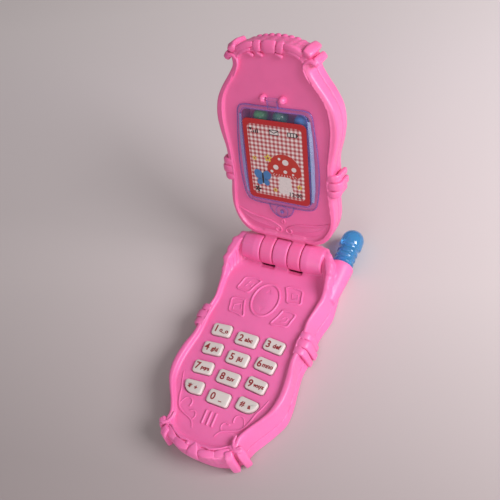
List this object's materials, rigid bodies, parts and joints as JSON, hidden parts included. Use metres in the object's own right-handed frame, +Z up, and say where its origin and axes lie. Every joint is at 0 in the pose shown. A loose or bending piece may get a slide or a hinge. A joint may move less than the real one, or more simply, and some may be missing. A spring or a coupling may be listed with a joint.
{
  "type": "toy flip phone",
  "caption": "Open toy flip phone with a printed candy compartment in its lid, a sprung number keypad and a stub antenna.",
  "frame": {"origin": "on the table, straight under the lid's hinge axis, midway across the phone", "axes": "+X across the phone along the hinge, +Y away from the keypad's foot, +Z up"},
  "size_m": [0.0566, 0.1316, 0.0985],
  "materials": {
    "pink_body": "moulded, semi-gloss",
    "pink_lid": "moulded, semi-gloss",
    "key_white": "moulded, satin, printed legends",
    "mat_rubber": "matt",
    "board_green": "solder mask",
    "chip_epoxy": "cast epoxy",
    "speaker_black": "satin",
    "steel": "plated",
    "brass": "sprung strip",
    "wire_red": "insulation",
    "wire_black": "insulation",
    "led_clear": "clear",
    "antenna_blue": "translucent",
    "clear_violet": "translucent",
    "card_print": "printed, laminated",
    "candy_green": "sugar shell",
    "candy_mint": "sugar shell",
    "candy_blue": "sugar shell",
    "candy_orange": "sugar shell",
    "candy_yellow": "sugar shell",
    "candy_pink": "sugar shell"
  },
  "bodies": {
    "base": {"base_front_shell": "pink_body", "base_back_shell": "pink_body", "battery_door": "pink_body", "battery_door_screw": "steel", "circuit_board": "board_green", "keypad_mat": "mat_rubber", "sound_chip": "chip_epoxy", "speaker": "speaker_black", "speaker_wire_red": "wire_red", "speaker_wire_black": "wire_black", "hinge_pin": "steel", "antenna_tip": "antenna_blue", "antenna_led": "led_clear", "battery_contact_positive": "brass", "battery_contact_negative": "brass", "button_cell_1": "steel", "button_cell_2": "steel", "button_cell_3": "steel", "case_screw_1": "steel", "case_screw_2": "steel", "case_screw_3": "steel", "case_screw_4": "steel"},
    "lid": {"lid_front_shell": "pink_lid", "lid_back_shell": "pink_lid", "lid_screw_1": "steel", "lid_screw_2": "steel", "lid_screw_3": "steel", "lid_screw_4": "steel", "candy_1": "candy_green", "candy_2": "candy_mint", "candy_3": "candy_blue", "candy_4": "candy_orange", "candy_5": "candy_yellow", "candy_6": "candy_pink", "candy_7": "candy_green", "candy_8": "candy_mint", "candy_9": "candy_blue"},
    "candy_cover": {"candy_cover": "clear_violet", "picture_card": "card_print"},
    "key_0": {"key_0": "key_white"},
    "key_1": {"key_1": "key_white"},
    "key_2": {"key_2": "key_white"},
    "key_3": {"key_3": "key_white"},
    "key_4": {"key_4": "key_white"},
    "key_5": {"key_5": "key_white"},
    "key_6": {"key_6": "key_white"},
    "key_7": {"key_7": "key_white"},
    "key_8": {"key_8": "key_white"},
    "key_9": {"key_9": "key_white"},
    "key_star": {"key_star": "key_white"},
    "key_hash": {"key_hash": "key_white"}
  },
  "joints": [
    {"name": "lid_hinge", "type": "hinge", "parent": "base", "child": "lid", "pos_m": [0, 0, 0.01323], "axis": [-1, 0, 0], "range_deg": [-110.8, 15]},
    {"name": "cover_hinge", "type": "hinge", "parent": "lid", "child": "candy_cover", "pos_m": [0, 0.02425, 0.07836], "axis": [-1, 0, 0], "range_deg": [0, 100]},
    {"name": "key_0_press", "type": "slide", "parent": "base", "child": "key_0", "axis": [0, 0, -1], "range_m": [0, 0.0008], "stiffness_N_per_m": 100},
    {"name": "key_1_press", "type": "slide", "parent": "base", "child": "key_1", "axis": [0, 0, -1], "range_m": [0, 0.0008], "stiffness_N_per_m": 100},
    {"name": "key_2_press", "type": "slide", "parent": "base", "child": "key_2", "axis": [0, 0, -1], "range_m": [0, 0.0008], "stiffness_N_per_m": 100},
    {"name": "key_3_press", "type": "slide", "parent": "base", "child": "key_3", "axis": [0, 0, -1], "range_m": [0, 0.0008], "stiffness_N_per_m": 100},
    {"name": "key_4_press", "type": "slide", "parent": "base", "child": "key_4", "axis": [0, 0, -1], "range_m": [0, 0.0008], "stiffness_N_per_m": 100},
    {"name": "key_5_press", "type": "slide", "parent": "base", "child": "key_5", "axis": [0, 0, -1], "range_m": [0, 0.0008], "stiffness_N_per_m": 100},
    {"name": "key_6_press", "type": "slide", "parent": "base", "child": "key_6", "axis": [0, 0, -1], "range_m": [0, 0.0008], "stiffness_N_per_m": 100},
    {"name": "key_7_press", "type": "slide", "parent": "base", "child": "key_7", "axis": [0, 0, -1], "range_m": [0, 0.0008], "stiffness_N_per_m": 100},
    {"name": "key_8_press", "type": "slide", "parent": "base", "child": "key_8", "axis": [0, 0, -1], "range_m": [0, 0.0008], "stiffness_N_per_m": 100},
    {"name": "key_9_press", "type": "slide", "parent": "base", "child": "key_9", "axis": [0, 0, -1], "range_m": [0, 0.0008], "stiffness_N_per_m": 100},
    {"name": "key_star_press", "type": "slide", "parent": "base", "child": "key_star", "axis": [0, 0, -1], "range_m": [0, 0.0008], "stiffness_N_per_m": 100},
    {"name": "key_hash_press", "type": "slide", "parent": "base", "child": "key_hash", "axis": [0, 0, -1], "range_m": [0, 0.0008], "stiffness_N_per_m": 100}
  ]
}
